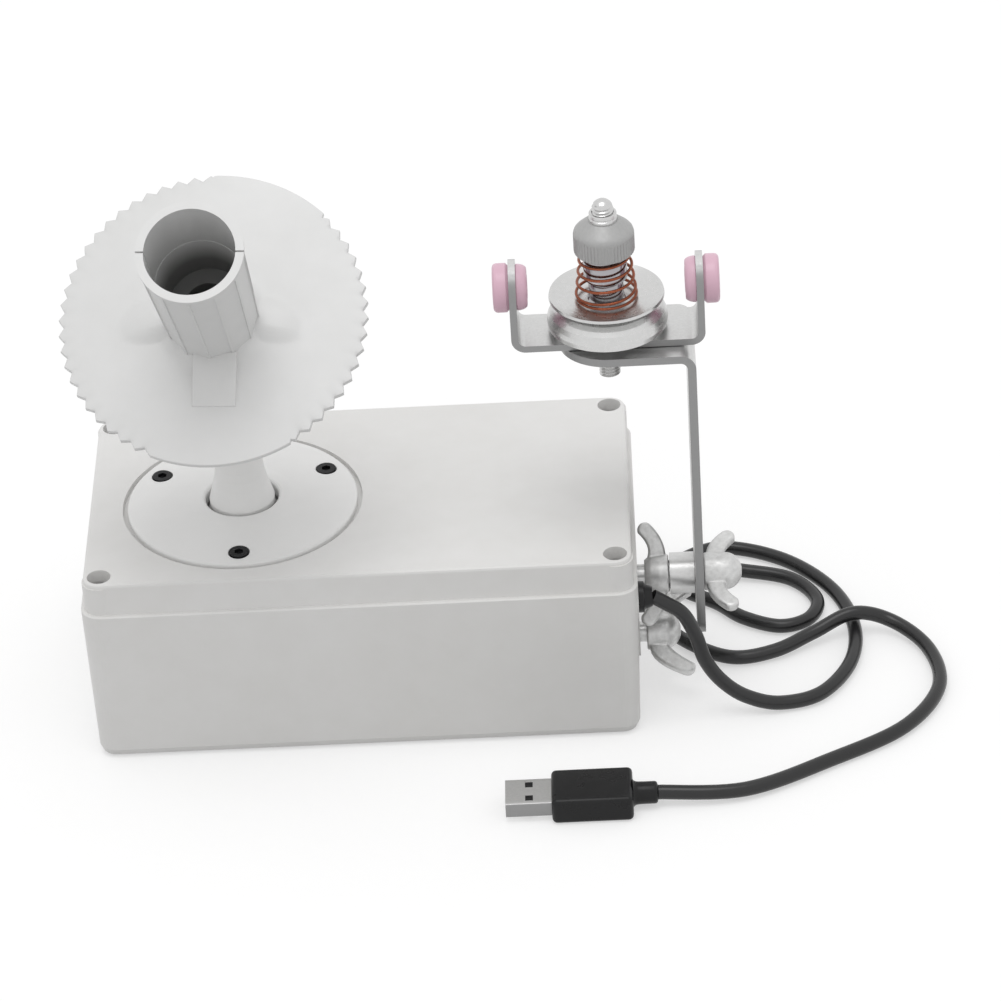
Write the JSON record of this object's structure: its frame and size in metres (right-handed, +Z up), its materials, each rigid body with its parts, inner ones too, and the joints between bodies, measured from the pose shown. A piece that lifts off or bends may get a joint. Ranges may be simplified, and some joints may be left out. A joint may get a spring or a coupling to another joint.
{
  "type": "electric yarn ball winder",
  "caption": "Desktop electric yarn ball winder: a box with a turning column, a tilted toothed spool with a core tube, a side arm with a spring yarn tensioner, and a power cord.",
  "frame": {"origin": "centre of the box's bottom face, on the surface it stands on", "axes": "+X towards the side arm, -Y the front, towards which the spool leans, +Z up"},
  "size_m": [0.2461, 0.1468, 0.1823],
  "materials": {
    "white_body": "satin",
    "white_spool": "satin",
    "black_screw": "satin",
    "steel": "satin",
    "bright_steel": "polished",
    "cast_metal": "cast",
    "gear_brass": "satin",
    "pink_ceramic": "gloss",
    "spring_wire": "satin",
    "black_rubber": "matte",
    "circuit_board": "satin"
  },
  "bodies": {
    "box": {"box_base": "white_body", "box_lid": "white_body", "lid_screws": "steel", "cover_plate": "white_body", "cover_screws": "black_screw", "column_bearings": "bright_steel", "centre_rod": "steel", "sun_gear": "gear_brass", "motor": "bright_steel", "motor_bracket": "steel", "motor_screws": "steel", "control_board": "circuit_board", "board_screws": "steel", "speed_control": "bright_steel", "control_nut": "steel", "upper_bolt": "steel", "lower_bolt": "steel", "cord_grommet": "black_rubber", "usb_cord": "black_rubber", "plug_boot": "black_rubber", "plug_grip": "black_rubber", "plug_shell": "bright_steel"},
    "head": {"column_shaft": "steel", "shaft_collar": "steel", "drive_gear": "white_spool", "neck_sleeve": "white_spool", "head_housing": "white_spool", "head_cap": "white_spool", "cap_screws": "black_screw", "spindle_bushes": "gear_brass"},
    "spool": {"spool_spindle": "steel", "planet_gear": "gear_brass", "spool_disc": "white_spool", "core_tube": "white_spool", "spool_nut": "steel"},
    "pinion": {"motor_pinion": "gear_brass"},
    "knob": {"speed_knob": "black_rubber"},
    "inner_nut": {"wing_nut_inner": "cast_metal"},
    "lower_nut": {"wing_nut_lower": "cast_metal"},
    "outer_nut": {"wing_nut_outer": "cast_metal"},
    "pivot": {"slot_bush": "steel"},
    "mast": {"arm_bar": "steel", "post": "bright_steel", "post_nut": "steel", "tension_spring": "spring_wire"},
    "bracket": {"eyelet_bracket": "steel", "eyelet_left": "pink_ceramic", "eyelet_right": "pink_ceramic", "eyelet_rings": "pink_ceramic"},
    "low_dish": {"lower_dish": "bright_steel"},
    "high_dish": {"upper_dish": "bright_steel"},
    "guide": {"spring_guide": "bright_steel"},
    "nut": {"tension_nut": "cast_metal"}
  },
  "joints": [
    {"name": "head_turn", "type": "hinge", "parent": "box", "child": "head", "pos_m": [-0.0335, -0.0035, 0.08], "axis": [0, 0, 1], "continuous": true},
    {"name": "spool_turn", "type": "hinge", "parent": "head", "child": "spool", "pos_m": [-0.0335, -0.0035, 0.106], "axis": [-0.0415, -0.5934, 0.8039], "continuous": true},
    {"name": "pinion_turn", "type": "hinge", "parent": "box", "child": "pinion", "pos_m": [-0.0015, -0.0035, 0.044], "axis": [0, 0, 1], "continuous": true},
    {"name": "knob_turn", "type": "hinge", "parent": "box", "child": "knob", "pos_m": [0.045, 0.052, 0.028], "axis": [0, 1, 0], "range_deg": [0, 300]},
    {"name": "inner_nut_turn", "type": "hinge", "parent": "box", "child": "inner_nut", "pos_m": [0.084, -0.015, 0.036], "axis": [1, 0, 0], "range_deg": [-30, 10]},
    {"name": "lower_nut_turn", "type": "hinge", "parent": "box", "child": "lower_nut", "pos_m": [0.086, -0.015, 0.016], "axis": [1, 0, 0], "range_deg": [-40, 20]},
    {"name": "outer_nut_turn", "type": "hinge", "parent": "box", "child": "outer_nut", "pos_m": [0.102, -0.015, 0.036], "axis": [1, 0, 0], "range_deg": [-180, 180]},
    {"name": "arm_swing", "type": "hinge", "parent": "box", "child": "pivot", "pos_m": [0.092, -0.015, 0.036], "axis": [1, 0, 0], "range_deg": [-35, 15]},
    {"name": "arm_lift", "type": "slide", "parent": "pivot", "child": "mast", "axis": [0, 0, 1], "range_m": [0, 0.006]},
    {"name": "bracket_turn", "type": "hinge", "parent": "mast", "child": "bracket", "pos_m": [0.074, -0.015, 0.119], "axis": [0, 0, 1], "range_deg": [-60, 60]},
    {"name": "low_dish_turn", "type": "hinge", "parent": "mast", "child": "low_dish", "pos_m": [0.074, -0.015, 0.128], "axis": [0, 0, 1], "continuous": true},
    {"name": "high_dish_lift", "type": "slide", "parent": "mast", "child": "high_dish", "axis": [0, 0, 1], "range_m": [0, 0.0015], "deforming": ["tension_spring"]},
    {"name": "nut_travel", "type": "slide", "parent": "mast", "child": "guide", "axis": [0, 0, 1], "range_m": [-0.0045, 0.002], "deforming": ["tension_spring"]},
    {"name": "nut_turn", "type": "hinge", "parent": "guide", "child": "nut", "pos_m": [0.074, -0.015, 0.148], "axis": [0, 0, 1], "range_deg": [-1620, 720]}
  ],
  "couplings": [
    {"joint": "spool_turn", "follows": "head_turn", "ratio": -0.9},
    {"joint": "pinion_turn", "follows": "head_turn", "ratio": -3},
    {"joint": "nut_travel", "follows": "nut_turn", "m_per_rad": 0.00015915}
  ]
}
